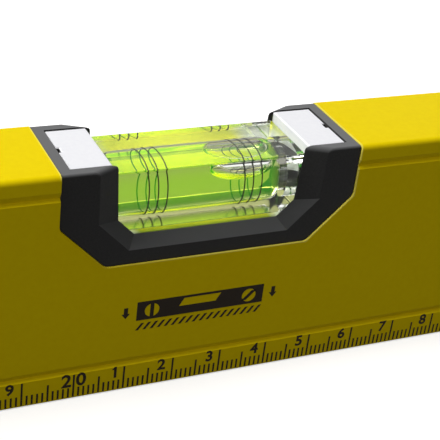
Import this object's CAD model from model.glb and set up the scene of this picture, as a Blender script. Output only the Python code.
import bpy
import math
from mathutils import Matrix, Vector


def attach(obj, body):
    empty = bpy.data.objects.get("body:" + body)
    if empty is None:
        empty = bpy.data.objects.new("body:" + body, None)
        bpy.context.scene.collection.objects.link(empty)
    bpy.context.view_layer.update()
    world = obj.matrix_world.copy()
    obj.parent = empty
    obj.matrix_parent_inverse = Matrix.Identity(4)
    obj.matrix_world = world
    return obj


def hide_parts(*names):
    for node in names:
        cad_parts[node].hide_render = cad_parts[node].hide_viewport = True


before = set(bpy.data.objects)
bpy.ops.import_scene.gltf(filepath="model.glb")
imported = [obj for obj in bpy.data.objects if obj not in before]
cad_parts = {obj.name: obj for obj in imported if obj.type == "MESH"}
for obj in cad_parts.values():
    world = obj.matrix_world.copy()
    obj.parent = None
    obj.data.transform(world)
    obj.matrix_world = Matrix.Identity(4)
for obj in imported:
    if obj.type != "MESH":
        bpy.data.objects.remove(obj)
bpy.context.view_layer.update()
mm = 0.001


# view of the level, in millimetres, radians and pixels of a 440 pixel wide image
view = {
    "place": (-87.652, -180.175, 143.787),
    "yaw": 0.4822,
    "pitch": 0.5134,
    "roll": 0.1288,
    "focalPixels": 1201.84,
    "imageWidth": 440,
    "sensor": 36.0,
    "clipNear": 10.0,
    "clipFar": 20000.0,
}


def placeCamera():
    data = bpy.data.cameras.new("levelCamera")
    data.sensor_fit = "HORIZONTAL"
    data.sensor_width = view["sensor"]
    data.lens = view["focalPixels"] * view["sensor"] / view["imageWidth"]
    data.clip_start = view["clipNear"] * mm
    data.clip_end = view["clipFar"] * mm
    camera = bpy.data.objects.new("levelCamera", data)
    bpy.context.collection.objects.link(camera)
    turn = (
        Matrix.Rotation(-view["yaw"], 4, "Z")
        @ Matrix.Rotation(math.pi / 2 - view["pitch"], 4, "X")
        @ Matrix.Rotation(view["roll"], 4, "Z")
    )
    camera.matrix_world = Matrix.Translation(Vector(view["place"]) * mm) @ turn
    bpy.context.scene.camera = camera


placeCamera()
print("camera placed")


# selecting, joining and cutting

mergeDistance = 0.002  # millimetres


def clearSelection():
    if bpy.context.object and bpy.context.object.mode != "OBJECT":
        bpy.ops.object.mode_set(mode="OBJECT")
    bpy.ops.object.select_all(action="DESELECT")


def selectOnly(piece):
    clearSelection()
    piece.select_set(True)
    bpy.context.view_layer.objects.active = piece


def settlePlace(piece):
    selectOnly(piece)
    bpy.ops.object.transform_apply(location=True, rotation=True, scale=True)


def joinPieces(pieces, name):
    clearSelection()
    for piece in pieces:
        piece.select_set(True)
    bpy.context.view_layer.objects.active = pieces[0]
    bpy.ops.object.join()
    joined = bpy.context.object
    joined.name = name
    settlePlace(joined)
    return joined


def addBox(name, low, high):
    clearSelection()
    middle = [(a + b) / 2 * mm for a, b in zip(low, high)]
    size = [(b - a) * mm for a, b in zip(low, high)]
    bpy.ops.mesh.primitive_cube_add(size=1, location=middle, scale=size)
    piece = bpy.context.object
    piece.name = name
    settlePlace(piece)
    return piece


def addDisc(name, centre, radius, low, high, sides=48, axis="Y"):
    clearSelection()
    middle = (low + high) / 2
    turns = {"X": (0, math.pi / 2, 0), "Y": (math.pi / 2, 0, 0)}
    places = {"X": (middle, centre[0], centre[1]), "Y": (centre[0], middle, centre[1])}
    bpy.ops.mesh.primitive_cylinder_add(
        vertices=sides,
        radius=radius * mm,
        depth=(high - low) * mm,
        location=[v * mm for v in places[axis]],
        rotation=turns[axis],
    )
    piece = bpy.context.object
    piece.name = name
    settlePlace(piece)
    return piece


def applyModifiers(piece):
    selectOnly(piece)
    for modifier in list(piece.modifiers):
        bpy.ops.object.modifier_apply(modifier=modifier.name)


def cutWith(piece, cutter):
    cut = piece.modifiers.new("cut", "BOOLEAN")
    cut.operation = "DIFFERENCE"
    cut.solver = "EXACT"
    cut.object = cutter
    applyModifiers(piece)
    bpy.data.objects.remove(cutter, do_unlink=True)


def faceOutwards(piece):
    selectOnly(piece)
    bpy.ops.object.mode_set(mode="EDIT")
    bpy.ops.mesh.select_all(action="SELECT")
    bpy.ops.mesh.remove_doubles(threshold=mergeDistance * mm)
    bpy.ops.mesh.normals_make_consistent(inside=False)
    bpy.ops.object.mode_set(mode="OBJECT")


def smoothBelow(piece, degrees):
    selectOnly(piece)
    bpy.ops.object.shade_smooth_by_angle(angle=math.radians(degrees))


def setMaterial(piece, material):
    piece.data.materials.clear()
    piece.data.materials.append(material)


# materials: each dictionary gives a finish, with its grain size and depth in millimetres

def srgb(red, green, blue):
    def line(value):
        value = value / 255
        return value / 12.92 if value <= 0.04045 else ((value + 0.055) / 1.055) ** 2.4
    return (line(red), line(green), line(blue), 1.0)


def newMaterial(name):
    material = bpy.data.materials.new(name)
    material.use_nodes = True
    nodes = material.node_tree.nodes
    nodes.clear()
    output = nodes.new("ShaderNodeOutputMaterial")
    return material, nodes, material.node_tree.links, output


def mathNode(nodes, links, operation, first, second):
    node = nodes.new("ShaderNodeMath")
    node.operation = operation
    for socket, value in zip(node.inputs, (first, second)):
        if isinstance(value, float):
            socket.default_value = value
        else:
            links.new(value, socket)
    return node.outputs["Value"]


def rangeNode(nodes, links, value, fromLow, fromHigh, toLow=0.0, toHigh=1.0):
    node = nodes.new("ShaderNodeMapRange")
    node.inputs["From Min"].default_value = fromLow
    node.inputs["From Max"].default_value = fromHigh
    node.inputs["To Min"].default_value = toLow
    node.inputs["To Max"].default_value = toHigh
    links.new(value, node.inputs["Value"])
    return node.outputs["Result"]


def splitVector(nodes, links, vector):
    parts = nodes.new("ShaderNodeSeparateXYZ")
    links.new(vector, parts.inputs["Vector"])
    return parts.outputs


def mixColours(nodes, links, factor, first, second):
    mix = nodes.new("ShaderNodeMix")
    mix.data_type = "RGBA"
    links.new(factor, mix.inputs["Factor"])
    links.new(first, mix.inputs["A"])
    mix.inputs["B"].default_value = second
    return mix.outputs["Result"]


def colourBetween(nodes, links, factor, first, second, low=0.3, high=0.7):
    ramp = nodes.new("ShaderNodeValToRGB")
    ramp.color_ramp.elements[0].position = low
    ramp.color_ramp.elements[0].color = first
    ramp.color_ramp.elements[1].position = high
    ramp.color_ramp.elements[1].color = second
    links.new(factor, ramp.inputs["Fac"])
    return ramp.outputs["Color"]


# surface with a fine grain; the grain's own pattern is given back for the colour
def grainedShader(name, finish):
    material, nodes, links, output = newMaterial(name)
    shader = nodes.new("ShaderNodeBsdfPrincipled")
    shader.inputs["Roughness"].default_value = finish["roughness"]
    shader.inputs["Specular IOR Level"].default_value = finish["specular"]
    shader.inputs["Metallic"].default_value = finish.get("metallic", 0.0)
    links.new(shader.outputs["BSDF"], output.inputs["Surface"])
    coordinates = nodes.new("ShaderNodeTexCoord")
    noise = nodes.new("ShaderNodeTexNoise")
    noise.inputs["Scale"].default_value = 1.0 / (finish["grain"] * mm)
    noise.inputs["Detail"].default_value = finish.get("detail", 3.0)
    links.new(coordinates.outputs["Object"], noise.inputs["Vector"])
    bump = nodes.new("ShaderNodeBump")
    bump.inputs["Strength"].default_value = finish["strength"]
    bump.inputs["Distance"].default_value = finish["depth"] * mm
    links.new(noise.outputs["Fac"], bump.inputs["Height"])
    links.new(bump.outputs["Normal"], shader.inputs["Normal"])
    return material, nodes, links, shader, coordinates, noise.outputs["Fac"]


# powder coat, with a pale line where the saw cut the coated profile for the vial frame
powderCoat = {
    "colour": srgb(240, 214, 6),
    "deep": srgb(237, 210, 4),
    "roughness": 0.42,
    "specular": 0.02,
    "grain": 1.1,
    "strength": 0.09,
    "depth": 0.05,
    "detail": 2.0,
}
sawnEdge = {
    "side": 29.4,
    "floor": 28.4,
    "slope": 9.0,
    "reach": 0.12,
    "fade": 0.26,
    "share": 0.75,
    "darkSide": -26.0,
    "paleSide": -2.0,
    "topFrom": 47.0,
    "topTo": 47.6,
    "colour": srgb(253, 240, 105),
}


def sawnShare(nodes, links, coordinates):
    size = sawnEdge
    place = splitVector(nodes, links, coordinates.outputs["Object"])
    height = place["Z"]
    side = mathNode(nodes, links, "ABSOLUTE", place["X"], 0.0)
    beside = mathNode(nodes, links, "SUBTRACT", side, size["side"] * mm)
    below = mathNode(nodes, links, "SUBTRACT", size["floor"] * mm, height)
    corner = (size["side"] - size["slope"] - size["floor"]) * mm
    across = mathNode(nodes, links, "SUBTRACT", mathNode(nodes, links, "SUBTRACT", side, height), corner)
    slant = mathNode(nodes, links, "MULTIPLY", across, math.sqrt(0.5))
    far = mathNode(nodes, links, "MAXIMUM", mathNode(nodes, links, "MAXIMUM", beside, below), slant)
    line = rangeNode(nodes, links, far, size["reach"] * mm, size["fade"] * mm, size["share"], 0.0)
    pale = rangeNode(nodes, links, place["X"], size["darkSide"] * mm, size["paleSide"] * mm)
    onTop = rangeNode(nodes, links, height, size["topFrom"] * mm, size["topTo"] * mm)
    return mathNode(nodes, links, "MULTIPLY", line, mathNode(nodes, links, "MAXIMUM", pale, onTop))


def makePowderCoat():
    material, nodes, links, shader, coordinates, grain = grainedShader("powderCoatYellow", powderCoat)
    shade = colourBetween(nodes, links, grain, powderCoat["deep"], powderCoat["colour"])
    share = sawnShare(nodes, links, coordinates)
    edged = mixColours(nodes, links, share, shade, sawnEdge["colour"])
    links.new(edged, shader.inputs["Base Color"])
    return material


# moulded plastics, printed ink and plated steel; top is the tone of faces that look up
plainFinishes = {
    "mouldedBlack": {
        "colour": srgb(47, 47, 46),
        "deep": srgb(41, 41, 40),
        "top": srgb(100, 101, 101),
        "topFrom": 0.1,
        "topTo": 1.0,
        "roughness": 0.38,
        "specular": 0.04,
        "sheen": 0.4,
        "sheenRoughness": 0.4,
        "grain": 0.35,
        "strength": 0.08,
        "depth": 0.03,
    },
    "capBlack": {
        "colour": srgb(38, 38, 37),
        "deep": srgb(41, 41, 40),
        "roughness": 0.55,
        "specular": 0.3,
        "grain": 0.5,
        "strength": 0.2,
        "depth": 0.03,
    },
    "ringInk": {
        "colour": srgb(8, 12, 4),
        "deep": srgb(3, 4, 2),
        "roughness": 0.8,
        "specular": 0.0,
        "grain": 0.6,
        "strength": 0.02,
        "depth": 0.03,
    },
    "plugGreen": {
        "colour": srgb(58, 66, 50),
        "deep": srgb(50, 58, 42),
        "roughness": 0.15,
        "specular": 0.5,
        "grain": 0.8,
        "strength": 0.03,
        "depth": 0.03,
    },
    "printedInk": {
        "colour": srgb(28, 20, 8),
        "deep": srgb(21, 14, 6),
        "roughness": 0.6,
        "specular": 0.08,
        "grain": 0.6,
        "strength": 0.1,
        "depth": 0.01,
    },
    "nickelSteel": {
        "colour": srgb(196, 197, 200),
        "deep": srgb(180, 181, 184),
        "roughness": 0.28,
        "specular": 0.5,
        "metallic": 1.0,
        "grain": 0.4,
        "strength": 0.08,
        "depth": 0.01,
    },
}


def makePlain(name):
    finish = plainFinishes[name]
    material, nodes, links, shader, coordinates, grain = grainedShader(name, finish)
    shade = colourBetween(nodes, links, grain, finish["deep"], finish["colour"])
    if "sheen" in finish:
        shader.inputs["Sheen Weight"].default_value = finish["sheen"]
        shader.inputs["Sheen Roughness"].default_value = finish["sheenRoughness"]
    if "top" in finish:
        facing = splitVector(nodes, links, coordinates.outputs["Normal"])
        upward = rangeNode(nodes, links, facing["Z"], finish["topFrom"], finish["topTo"])
        shade = mixColours(nodes, links, upward, shade, finish["top"])
    links.new(shade, shader.inputs["Base Color"])
    return material


# white inserts, dark in the small notch of the outer edge and on the wall that the block covers
insertWhite = {
    "colour": srgb(240, 241, 243),
    "deep": srgb(236, 237, 240),
    "dark": srgb(46, 48, 46),
    "notchFrom": 26.5,
    "notchHalf": 0.86,
    "wall": 19.36,
    "wallTop": 41.2,
    "roughness": 0.4,
    "specular": 0.35,
    "grain": 0.8,
    "strength": 0.02,
    "depth": 0.03,
}


def makeInsertWhite():
    size = insertWhite
    material, nodes, links, shader, coordinates, grain = grainedShader("insertWhite", size)
    shade = colourBetween(nodes, links, grain, size["deep"], size["colour"])
    place = splitVector(nodes, links, coordinates.outputs["Object"])
    side = mathNode(nodes, links, "ABSOLUTE", place["X"], 0.0)
    depth = mathNode(nodes, links, "ABSOLUTE", place["Y"], 0.0)
    outer = mathNode(nodes, links, "GREATER_THAN", side, size["notchFrom"] * mm)
    within = mathNode(nodes, links, "LESS_THAN", depth, size["notchHalf"] * mm)
    inner = mathNode(nodes, links, "LESS_THAN", side, size["wall"] * mm)
    low = mathNode(nodes, links, "LESS_THAN", place["Z"], size["wallTop"] * mm)
    notch = mathNode(nodes, links, "MULTIPLY", outer, within)
    covered = mathNode(nodes, links, "MULTIPLY", inner, low)
    dark = mathNode(nodes, links, "MAXIMUM", notch, covered)
    links.new(mixColours(nodes, links, dark, shade, size["dark"]), shader.inputs["Base Color"])
    return material


# plate under the block, yellow from the vial's light, darker at the front edge and white at its ends
vialPlate = {
    "underVial": srgb(249, 240, 52),
    "atFront": srgb(140, 158, 40),
    "fadeFrom": -7.5,
    "fadeTo": -5.0,
    "atEnds": srgb(238, 242, 234),
    "endFrom": 13.0,
    "endTo": 16.0,
    "litByVial": 0.2,
    "roughness": 0.4,
    "specular": 0.3,
    "grain": 0.8,
    "strength": 0.03,
    "depth": 0.03,
}


def makeVialPlate():
    size = vialPlate
    material, nodes, links, shader, coordinates = grainedShader("plateYellow", size)[:5]
    place = splitVector(nodes, links, coordinates.outputs["Object"])
    fade = rangeNode(nodes, links, place["Y"], size["fadeFrom"] * mm, size["fadeTo"] * mm)
    shade = colourBetween(nodes, links, fade, size["atFront"], size["underVial"], 0.0, 1.0)
    side = mathNode(nodes, links, "ABSOLUTE", place["X"], 0.0)
    ends = rangeNode(nodes, links, side, size["endFrom"] * mm, size["endTo"] * mm)
    shade = mixColours(nodes, links, ends, shade, size["atEnds"])
    links.new(shade, shader.inputs["Base Color"])
    links.new(shade, shader.inputs["Emission Color"])
    shader.inputs["Emission Strength"].default_value = size["litByVial"]
    return material


# clear acrylic; the foot is the matt underside of the block
acrylic = {
    "colour": (1.0, 1.0, 0.99, 1.0),
    "deep": (0.97, 0.985, 0.95, 1.0),
    "ior": 1.49,
    "glint": (0.25, 0.25, 0.25, 1.0),
    "footFrom": 34.05,
    "footTo": 34.2,
    "footRoughness": 0.17,
    "roughness": 0.0,
    "specular": 0.5,
    "grain": 6.0,
    "strength": 0.02,
    "depth": 0.02,
}


def makeAcrylic(name, footed):
    size = acrylic
    material, nodes, links, shader, coordinates, grain = grainedShader(name, size)
    shade = colourBetween(nodes, links, grain, size["deep"], size["colour"])
    shader.inputs["Transmission Weight"].default_value = 1.0
    shader.inputs["IOR"].default_value = size["ior"]
    shader.inputs["Specular Tint"].default_value = size["glint"]
    if footed:
        place = splitVector(nodes, links, coordinates.outputs["Object"])
        low, high = size["footFrom"] * mm, size["footTo"] * mm
        matt = rangeNode(nodes, links, place["Z"], low, high, size["footRoughness"], size["roughness"])
        links.new(matt, shader.inputs["Roughness"])
    links.new(shade, shader.inputs["Base Color"])
    return material


# fluid: its outer wall lies against acrylic, and faces marked gasWall lie against the bubble
vialFluid = {
    "tint": (0.965, 0.978, 0.0, 1.0),
    "density": 230.0,
    "glow": (0.07, 1.0, 0.03, 1.0),
    "glowStrength": 25.0,
    "wallIor": 0.93,
    "gasIor": 1.386,
}


def makeFluid():
    material, nodes, links, output = newMaterial("vialFluid")
    share = nodes.new("ShaderNodeAttribute")
    share.attribute_name = "gasWall"
    mix = nodes.new("ShaderNodeMixShader")
    links.new(share.outputs["Fac"], mix.inputs["Fac"])
    for socket, ior in ((1, vialFluid["wallIor"]), (2, vialFluid["gasIor"])):
        glass = nodes.new("ShaderNodeBsdfGlass")
        glass.inputs["IOR"].default_value = ior
        glass.inputs["Roughness"].default_value = 0.0
        glass.inputs["Color"].default_value = (1, 1, 1, 1)
        links.new(glass.outputs["BSDF"], mix.inputs[socket])
    links.new(mix.outputs["Shader"], output.inputs["Surface"])
    depth = nodes.new("ShaderNodeVolumeAbsorption")
    depth.inputs["Color"].default_value = vialFluid["tint"]
    depth.inputs["Density"].default_value = vialFluid["density"]
    glow = nodes.new("ShaderNodeEmission")
    glow.inputs["Color"].default_value = vialFluid["glow"]
    glow.inputs["Strength"].default_value = vialFluid["glowStrength"]
    dye = nodes.new("ShaderNodeAddShader")
    links.new(depth.outputs["Volume"], dye.inputs[0])
    links.new(glow.outputs["Emission"], dye.inputs[1])
    links.new(dye.outputs["Shader"], output.inputs["Volume"])
    return material


yellowMaterial = makePowderCoat()
blackMaterial = makePlain("mouldedBlack")
capMaterial = makePlain("capBlack")
whiteMaterial = makeInsertWhite()
plateMaterial = makeVialPlate()
ringMaterial = makePlain("ringInk")
plugMaterial = makePlain("plugGreen")
inkMaterial = makePlain("printedInk")
magnetMaterial = makePlain("nickelSteel")
blockMaterial = makeAcrylic("clearAcrylic", True)
tubeMaterial = makeAcrylic("tubeAcrylic", False)
fluidMaterial = makeFluid()
print("materials ready")

nodeMaterials = {
    "body_profile": yellowMaterial,
    "end_cap_left": capMaterial,
    "end_cap_right": capMaterial,
    "centre_frame": blackMaterial,
    "vial_rings": ringMaterial,
    "vial_plug": plugMaterial,
    "reflector_base": plateMaterial,
    "reflector_left": whiteMaterial,
    "reflector_right": whiteMaterial,
    "plumb_housing_front": blackMaterial,
    "plumb_housing_back": blackMaterial,
    "plumb_vial_plug": plugMaterial,
    "plumb_vial_rings": ringMaterial,
    "angle_housing_front": blackMaterial,
    "angle_housing_back": blackMaterial,
    "angle_vial_plug": plugMaterial,
    "angle_vial_rings": ringMaterial,
    "magnet_1": magnetMaterial,
    "magnet_2": magnetMaterial,
    "magnet_3": magnetMaterial,
    "magnet_4": magnetMaterial,
}
for nodeName, material in nodeMaterials.items():
    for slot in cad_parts[nodeName].material_slots:
        slot.material = material
print("finishes on the packed pieces")


# clear block of the level vial, in millimetres and degrees

levelVial = {
    "blockHalf": 19.15,
    "blockSide": 7.6,
    "blockLow": 34.03,
    "blockHigh": 45.95,
    "edge": 0.35,
    "edgeSteps": 3,
    "edgeSmooth": 10,
    "boreHeight": 39.39,
    "boreRadius": 4.58,
    "boreSwell": 0.22,
    "boreLeft": -17.6,
    "boreRight": 15.6,
    "boreRound": 1.6,
    "barrelSmooth": 30,
    "recessRadius": 4.25,
    "recessDepth": 2.35,
    "recessPast": 2.0,
    "recessSides": 64,
    "sides": 96,
    "bubblePlace": (8.0, 0.0, 3.2),
    "bubbleHalf": (6.6, 4.0, 2.7),
    "bubbleSides": 64,
    "film": 0.03,
}


def modelBlock():
    size = levelVial
    block = addBox(
        "clearBlock",
        (-size["blockHalf"], -size["blockSide"], size["blockLow"]),
        (size["blockHalf"], size["blockSide"], size["blockHigh"]),
    )
    bevel = block.modifiers.new("edges", "BEVEL")
    bevel.width = size["edge"] * mm
    bevel.segments = size["edgeSteps"]
    bevel.limit_method = "ANGLE"
    applyModifiers(block)
    recess = addDisc(
        "recess",
        (0, size["boreHeight"]),
        size["recessRadius"],
        size["blockHalf"] - size["recessDepth"],
        size["blockHalf"] + size["recessPast"],
        size["recessSides"],
        "X",
    )
    cutWith(block, recess)
    faceOutwards(block)
    smoothBelow(block, size["edgeSmooth"])
    setMaterial(block, blockMaterial)
    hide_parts("vial_block")
    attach(block, "root")


def barrelRadius(place, radius, swell, low, high):
    middle = (low + high) / 2
    reach = (high - low) / 2
    return radius + swell * (1 - ((place - middle) / reach) ** 2)


def turnAlongX(name, profile, sides):
    clearSelection()
    first = profile[0]
    bpy.ops.mesh.primitive_circle_add(
        vertices=sides,
        radius=first[1] * mm,
        fill_type="NGON",
        location=(first[0] * mm, 0, 0),
        rotation=(0, math.pi / 2, 0),
    )
    piece = bpy.context.object
    piece.name = name
    settlePlace(piece)
    bpy.ops.object.mode_set(mode="EDIT")
    bpy.ops.mesh.select_all(action="SELECT")
    for (fromX, fromRadius), (toX, toRadius) in zip(profile, profile[1:]):
        bpy.ops.mesh.extrude_region_move(TRANSFORM_OT_translate={"value": ((toX - fromX) * mm, 0, 0)})
        grow = toRadius / fromRadius
        bpy.ops.transform.resize(value=(1, grow, grow), center_override=(toX * mm, 0, 0))
    bpy.ops.object.mode_set(mode="OBJECT")
    return piece


def roundedBarrel(radius, swell, low, high, roundOff, steps=16, roundSteps=6):
    leftEnd = []
    for step in range(roundSteps + 1):
        angle = math.pi / 2 * step / roundSteps
        edge = barrelRadius(low + roundOff, radius, swell, low, high)
        leftEnd.append((low + roundOff * (1 - math.cos(angle)), edge - roundOff * (1 - math.sin(angle))))
    middle = []
    for step in range(1, steps):
        x = low + roundOff + (high - low - 2 * roundOff) * step / steps
        middle.append((x, barrelRadius(x, radius, swell, low, high)))
    rightEnd = [(low + high - x, r) for x, r in reversed(leftEnd)]
    return leftEnd + middle + rightEnd


def boreShape(size):
    return size["boreRadius"], size["boreSwell"], size["boreLeft"], size["boreRight"]


# gas bubble with its faces turned inwards, a thin film away from the wall of the bore
def modelBubble(size):
    clearSelection()
    sides = size["bubbleSides"]
    bpy.ops.mesh.primitive_uv_sphere_add(segments=sides, ring_count=sides // 2, radius=1.0)
    bubble = bpy.context.object
    film = size["film"]
    for vertex in bubble.data.vertices:
        x, y, z = [c + v * h for c, v, h in zip(size["bubblePlace"], vertex.co, size["bubbleHalf"])]
        x = max(size["boreLeft"] + film, min(size["boreRight"] - film, x))
        most = barrelRadius(x, *boreShape(size)) - film
        out = math.hypot(y, z)
        if out > most:
            y, z = y * most / out, z * most / out
        vertex.co = Vector((x, y, z)) * mm
    selectOnly(bubble)
    bpy.ops.object.shade_smooth()
    bpy.ops.object.mode_set(mode="EDIT")
    bpy.ops.mesh.select_all(action="SELECT")
    bpy.ops.mesh.normals_make_consistent(inside=True)
    bpy.ops.object.mode_set(mode="OBJECT")
    return bubble


def movePiece(piece, place):
    piece.matrix_world = place
    settlePlace(piece)


# fluid with the bubble as its inner wall; gasWall tells the two walls apart
def modelFluid(name, size, node, place):
    body = turnAlongX(name, roundedBarrel(*boreShape(size), size["boreRound"]), size["sides"])
    faceOutwards(body)
    smoothBelow(body, size["barrelSmooth"])
    bubble = modelBubble(size)
    for piece, share in ((body, 0.0), (bubble, 1.0)):
        wall = piece.data.attributes.new("gasWall", "FLOAT", "FACE")
        for face in wall.data:
            face.value = share
    fluid = joinPieces([body, bubble], name)
    setMaterial(fluid, fluidMaterial)
    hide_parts(node)
    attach(fluid, "root")
    movePiece(fluid, place)


modelBlock()
levelPlace = Matrix.Translation((0, 0, levelVial["boreHeight"] * mm))
modelFluid("levelFluid", levelVial, "vial_fluid", levelPlace)
print("level vial modelled")


# round vials near the ends, in millimetres and degrees

endVial = {
    "place": 173.0,
    "height": 24.0,
    "plumbTurn": 90,
    "angleTurn": 45,
    "tubeRadius": 4.97,
    "tubeHalf": 16.0,
    "tubeRound": 0.7,
    "tubeSteps": 4,
    "boreRadius": 3.9,
    "boreSwell": 0.1,
    "boreLeft": -13.0,
    "boreRight": 13.0,
    "boreRound": 0.5,
    "barrelSmooth": 30,
    "sides": 64,
    "bubblePlace": (9.6, 0.0, 0.0),
    "bubbleHalf": (4.4, 4.4, 4.4),
    "bubbleSides": 64,
    "film": 0.03,
}
angleBubble = {
    "bubblePlace": (9.0, 0.0, 1.6),
    "bubbleHalf": (4.6, 4.2, 3.6),
}


def endPlace(side, degrees):
    place = Matrix.Translation((side * endVial["place"] * mm, 0, endVial["height"] * mm))
    return place @ Matrix.Rotation(-math.radians(degrees), 4, "Y")


def modelTube(name, node, place):
    size = endVial
    half = size["tubeHalf"]
    profile = roundedBarrel(size["tubeRadius"], 0.0, -half, half, size["tubeRound"], size["tubeSteps"])
    tube = turnAlongX(name, profile, size["sides"])
    faceOutwards(tube)
    smoothBelow(tube, size["barrelSmooth"])
    setMaterial(tube, tubeMaterial)
    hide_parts(node)
    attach(tube, "root")
    movePiece(tube, place)


plumbPlace = endPlace(-1, endVial["plumbTurn"])
anglePlace = endPlace(1, endVial["angleTurn"])
modelTube("plumbTube", "plumb_vial_tube", plumbPlace)
modelTube("angleTube", "angle_vial_tube", anglePlace)
modelFluid("plumbFluid", endVial, "plumb_vial_fluid", plumbPlace)
modelFluid("angleFluid", {**endVial, **angleBubble}, "angle_vial_fluid", anglePlace)
print("end vials modelled")


# printed scale along the base of the front face, in millimetres

scalePrint = {
    "face": -10.25,
    "ink": 0.02,
    "start": -225.0,
    "centimetres": 45,
    "low": 0.5,
    "markWidth": 0.37,
    "markHigh": 2.64,
    "halfHigh": 4.22,
    "wholeHigh": 5.62,
    "firstMark": 3.6,
    "lastMark": 446.4,
    "digitHigh": 2.55,
    "digitLow": 3.25,
    "digitGap": 1.5,
    "tenHigh": 3.02,
    "tenLow": 2.85,
    "tenGap": 0.45,
    "letterShare": 0.73,
    "strokeEdge": 0.11,
    "flagReach": 0.5,
    "flagHigh": 0.65,
    "flagWidth": 0.34,
    "flagTip": 0.1,
}


def printMarks():
    size = scalePrint
    half = size["markWidth"] / 2
    front, back = size["face"] - size["ink"], size["face"] + size["ink"]
    marks = []
    for mark in range(1, 11):
        high = {5: size["halfHigh"], 10: size["wholeHigh"]}.get(mark, size["markHigh"])
        x = size["start"] + mark
        marks.append(addBox("mark", (x - half, front, size["low"]), (x + half, back, high)))
    scale = joinPieces(marks, "scaleMarks")
    repeat = scale.modifiers.new("repeat", "ARRAY")
    repeat.count = size["centimetres"]
    repeat.use_relative_offset = False
    repeat.use_constant_offset = True
    repeat.constant_offset_displace = (10 * mm, 0, 0)
    applyModifiers(scale)
    selectOnly(scale)
    bpy.ops.object.mode_set(mode="EDIT")
    bpy.ops.mesh.select_all(action="DESELECT")
    bpy.ops.object.mode_set(mode="OBJECT")
    for vertex in scale.data.vertices:
        reading = vertex.co.x / mm - size["start"]
        vertex.select = reading < size["firstMark"] or reading > size["lastMark"]
    bpy.ops.object.mode_set(mode="EDIT")
    bpy.ops.mesh.delete(type="VERT")
    bpy.ops.object.mode_set(mode="OBJECT")
    return scale


def printDigit(letter, high, low, left=None, right=None):
    clearSelection()
    bpy.ops.object.text_add(location=(0, 0, 0))
    digit = bpy.context.object
    digit.data.body = letter
    digit.data.size = high / scalePrint["letterShare"] * mm
    digit.data.extrude = scalePrint["ink"] * mm
    digit.data.bevel_depth = scalePrint["strokeEdge"] * mm
    digit.data.bevel_resolution = 0
    bpy.ops.object.convert(target="MESH")
    digit = bpy.context.object
    xs = [v.co.x for v in digit.data.vertices]
    ys = [v.co.y for v in digit.data.vertices]
    flat = scalePrint["ink"] * mm / max(v.co.z for v in digit.data.vertices)
    grow = high * mm / (max(ys) - min(ys))
    shift = left * mm - min(xs) * grow if left is not None else right * mm - max(xs) * grow
    digit.matrix_world = (
        Matrix.Translation((shift, scalePrint["face"] * mm, low * mm - min(ys) * grow))
        @ Matrix.Rotation(math.pi / 2, 4, "X")
        @ Matrix.Diagonal((grow, grow, flat, 1))
    )
    settlePlace(digit)
    return digit


# slanted stroke at the top of a 1
def printFlag(edge, top):
    size = scalePrint
    right = edge - size["flagWidth"] / 2
    low, high = top - size["flagHigh"], top - size["flagHigh"] * size["flagTip"]
    flag = addBox(
        "flag",
        (right - size["flagReach"] - size["flagWidth"], size["face"] - size["ink"], low),
        (right - size["flagReach"], size["face"] + size["ink"], high),
    )
    for vertex in flag.data.vertices:
        if vertex.co.z > (top - size["flagHigh"] / 2) * mm:
            vertex.co.x += size["flagReach"] * mm
    return flag


def printScale():
    size = scalePrint
    pieces = [printMarks()]
    for number in range(1, size["centimetres"]):
        x = size["start"] + 10 * number
        ten = number % 10 == 0
        digit = number // 10 if ten else number % 10
        edge = x - (size["tenGap"] if ten else size["digitGap"])
        high = size["tenHigh"] if ten else size["digitHigh"]
        low = size["tenLow"] if ten else size["digitLow"]
        pieces.append(printDigit(str(digit), high, low, right=edge))
        if ten:
            pieces.append(printDigit("0", high, low, left=x + size["tenGap"]))
        if digit == 1:
            pieces.append(printFlag(edge, low + high))
    scale = joinPieces(pieces, "printedScale")
    setMaterial(scale, inkMaterial)
    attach(scale, "root")


printScale()
print("scale printed")


# printed sign of a level on a surface, with arrows that show the side it stands on

levelSign = {
    "centre": -0.44,
    "barHalf": 13.08,
    "barLow": 15.8,
    "barHigh": 19.93,
    "roundPlace": 10.03,
    "roundHeight": 17.8,
    "roundRadius": 1.46,
    "roundBar": 0.38,
    "slopeShare": 0.72,
    "slopeWidth": 1.3,
    "windowLow": 17.7,
    "windowHigh": 19.4,
    "windowLeft": -4.6,
    "windowRight": 3.0,
    "windowLean": 1.0,
    "cutDepth": 1,
    "hatchLow": 13.6,
    "hatchHigh": 15.1,
    "hatchStep": 1.44,
    "hatchCount": 18,
    "hatchWidth": 0.58,
    "hatchLean": 1.1,
    "arrowPlace": 15.25,
    "arrowLow": 16.6,
    "arrowHigh": 19.0,
    "arrowWidth": 1.65,
    "arrowStem": 0.8,
    "neckShare": 0.65,
    "tipShare": 0.02,
}


def leanBox(name, left, right, low, high, lean=0, depth=scalePrint["ink"]):
    face = scalePrint["face"]
    piece = addBox(name, (left, face - depth, low), (right, face + depth, high))
    for vertex in piece.data.vertices:
        if vertex.co.z > (low + high) / 2 * mm:
            vertex.co.x += lean * mm
    return piece


def printBar():
    size = levelSign
    middle = size["centre"]
    half = size["barHalf"]
    bar = leanBox("bar", middle - half, middle + half, size["barLow"], size["barHigh"])
    front = scalePrint["face"] - size["cutDepth"]
    back = scalePrint["face"] + size["cutDepth"]
    for side in (-1, 1):
        centre = (middle + side * size["roundPlace"], size["roundHeight"])
        cutWith(bar, addDisc("cutter", centre, size["roundRadius"], front, back))
    window = leanBox(
        "window",
        middle + size["windowLeft"],
        middle + size["windowRight"],
        size["windowLow"],
        size["windowHigh"],
        size["windowLean"],
        size["cutDepth"],
    )
    cutWith(bar, window)
    return bar


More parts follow.
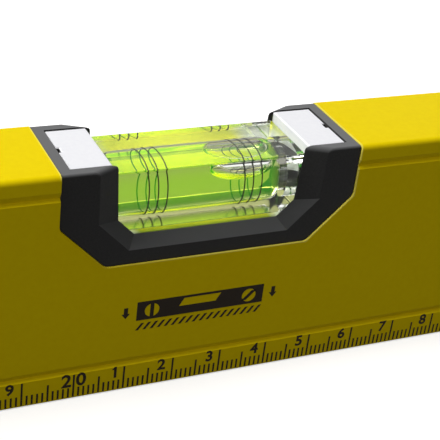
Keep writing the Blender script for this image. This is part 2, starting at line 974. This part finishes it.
# bars across the two round openings, upright on the left and slanting on the right
def printRoundBars():
    size = levelSign
    half = size["roundBar"]
    reach = size["roundRadius"]
    height = size["roundHeight"]
    left = size["centre"] - size["roundPlace"]
    upright = leanBox("uprightBar", left - half, left + half, height - reach, height + reach)
    slope = reach * size["slopeShare"]
    wide = half * size["slopeWidth"]
    foot = size["centre"] + size["roundPlace"] - slope
    sloped = leanBox("slopeBar", foot - wide, foot + wide, height - slope, height + slope, 2 * slope)
    return [upright, sloped]


def printArrow(x):
    size = levelSign
    low = size["arrowLow"]
    neck = low + size["arrowWidth"] * size["neckShare"]
    stem = leanBox("stem", x - size["arrowStem"] / 2, x + size["arrowStem"] / 2, neck, size["arrowHigh"])
    head = leanBox("head", x - size["arrowWidth"] / 2, x + size["arrowWidth"] / 2, low, neck)
    for vertex in head.data.vertices:
        if vertex.co.z < (low + neck) / 2 * mm:
            vertex.co.x = x * mm + (vertex.co.x - x * mm) * size["tipShare"]
    return [stem, head]


def printSign():
    size = levelSign
    pieces = [printBar()] + printRoundBars()
    first = size["centre"] - size["barHalf"]
    for step in range(size["hatchCount"]):
        x = first + step * size["hatchStep"]
        right = x + size["hatchWidth"]
        pieces.append(leanBox("hatch", x, right, size["hatchLow"], size["hatchHigh"], size["hatchLean"]))
    for side in (-1, 1):
        pieces += printArrow(size["centre"] + side * size["arrowPlace"])
    sign = joinPieces(pieces, "levelSign")
    setMaterial(sign, inkMaterial)
    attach(sign, "root")


printSign()
print("sign printed")


# studio: the floor and the lamp in metres, the cards in millimetres

studio = {
    "floorHalf": 3.0,
    "floorSquares": 8,
    "floorHeight": -0.00005,
    "floorSeen": (0.80, 0.80, 0.80, 1.0),
    "floorGlow": 0.62,
    "farGlow": 1.0,
    "farFrom": 0.6,
    "farTo": 1.8,
    "floorBounce": (0.10, 0.10, 0.10, 1.0),
    "worldSeen": (1.0, 1.0, 1.0, 1.0),
    "worldLight": (0.285, 0.275, 0.285, 1.0),
    "cardNear": 22.0,
    "cardFar": 210.0,
    "cardSide": 420.0,
    "cardThick": 1.0,
    "lowCardFrom": 0.1,
    "lowCardTo": 0.3,
    "lowCardColour": srgb(147, 147, 141),
    "cardBands": (
        (1.0, 118.0, (0.17, 0.15, 0.1, 1.0)),
        (118.0, 166.0, (0.85, 0.9, 0.34, 1.0)),
        (166.0, 420.0, (0.02, 0.02, 0.02, 1.0)),
    ),
    "keyPlace": (-1.1, 0.25, 1.25),
    "keySize": 1.1,
    "keyPower": 31.0,
}


# share of the rays that show the floor and the world as pale
def seenShare(nodes, links):
    rays = nodes.new("ShaderNodeLightPath").outputs
    mirrored = mathNode(nodes, links, "MAXIMUM", rays["Is Glossy Ray"], rays["Is Transmission Ray"])
    return mathNode(nodes, links, "MAXIMUM", rays["Is Camera Ray"], mirrored)


def colourWhereSeen(nodes, links, seen, unseenColour, seenColour):
    mix = nodes.new("ShaderNodeMix")
    mix.data_type = "RGBA"
    mix.inputs["A"].default_value = unseenColour
    mix.inputs["B"].default_value = seenColour
    links.new(seen, mix.inputs["Factor"])
    return mix.outputs["Result"]


def modelFloor():
    clearSelection()
    bpy.ops.mesh.primitive_grid_add(
        x_subdivisions=studio["floorSquares"],
        y_subdivisions=studio["floorSquares"],
        size=2 * studio["floorHalf"],
        location=(0, 0, studio["floorHeight"]),
    )
    floor = bpy.context.object
    floor.name = "studioFloor"
    settlePlace(floor)
    material, nodes, links, output = newMaterial("studioFloor")
    shader = nodes.new("ShaderNodeBsdfDiffuse")
    seen = seenShare(nodes, links)
    colour = colourWhereSeen(nodes, links, seen, studio["floorBounce"], studio["floorSeen"])
    links.new(colour, shader.inputs["Color"])
    glow = nodes.new("ShaderNodeEmission")
    glow.inputs["Color"].default_value = (1, 1, 1, 1)
    coordinates = nodes.new("ShaderNodeTexCoord")
    distance = nodes.new("ShaderNodeVectorMath")
    distance.operation = "LENGTH"
    links.new(coordinates.outputs["Object"], distance.inputs[0])
    away = (studio["farFrom"], studio["farTo"], studio["floorGlow"], studio["farGlow"])
    level = rangeNode(nodes, links, distance.outputs["Value"], *away)
    links.new(mathNode(nodes, links, "MULTIPLY", seen, level), glow.inputs["Strength"])
    both = nodes.new("ShaderNodeAddShader")
    links.new(shader.outputs["BSDF"], both.inputs[0])
    links.new(glow.outputs["Emission"], both.inputs[1])
    links.new(both.outputs["Shader"], output.inputs["Surface"])
    setMaterial(floor, material)


# backdrop card that only shows through the clear pieces
def modelCard(name, low, high, colour, kind="ShaderNodeBsdfDiffuse"):
    card = addBox(name, low, high)
    material, nodes, links, output = newMaterial(name)
    shader = nodes.new(kind)
    shader.inputs["Color"].default_value = colour
    links.new(shader.outputs[0], output.inputs["Surface"])
    setMaterial(card, material)
    card.visible_camera = False
    card.visible_diffuse = False
    card.visible_glossy = False
    card.visible_shadow = False


def modelCards():
    side = studio["cardSide"]
    near = studio["cardNear"]
    far = studio["cardFar"]
    low = (-side, near, studio["lowCardFrom"])
    high = (side, far, studio["lowCardTo"])
    modelCard("lowCard", low, high, studio["lowCardColour"])
    for bandLow, bandHigh, colour in studio["cardBands"]:
        low = (-side, far, bandLow)
        high = (side, far + studio["cardThick"], bandHigh)
        modelCard("backCard", low, high, colour, "ShaderNodeEmission")


def lightWorld():
    world = bpy.data.worlds.new("studioWorld")
    world.use_nodes = True
    bpy.context.scene.world = world
    nodes = world.node_tree.nodes
    links = world.node_tree.links
    nodes.clear()
    output = nodes.new("ShaderNodeOutputWorld")
    background = nodes.new("ShaderNodeBackground")
    seen = seenShare(nodes, links)
    colour = colourWhereSeen(nodes, links, seen, studio["worldLight"], studio["worldSeen"])
    links.new(colour, background.inputs["Color"])
    links.new(background.outputs["Background"], output.inputs["Surface"])


def hangLamp():
    lamp = bpy.data.lights.new("keyLamp", "AREA")
    lamp.shape = "SQUARE"
    lamp.size = studio["keySize"]
    lamp.energy = studio["keyPower"]
    key = bpy.data.objects.new("keyLamp", lamp)
    bpy.context.collection.objects.link(key)
    place = Vector(studio["keyPlace"])
    key.matrix_world = Matrix.Translation(place) @ (-place).to_track_quat("-Z", "Y").to_matrix().to_4x4()


modelFloor()
modelCards()
lightWorld()
hangLamp()
bpy.context.scene.view_settings.view_transform = "Standard"
print("studio lit")
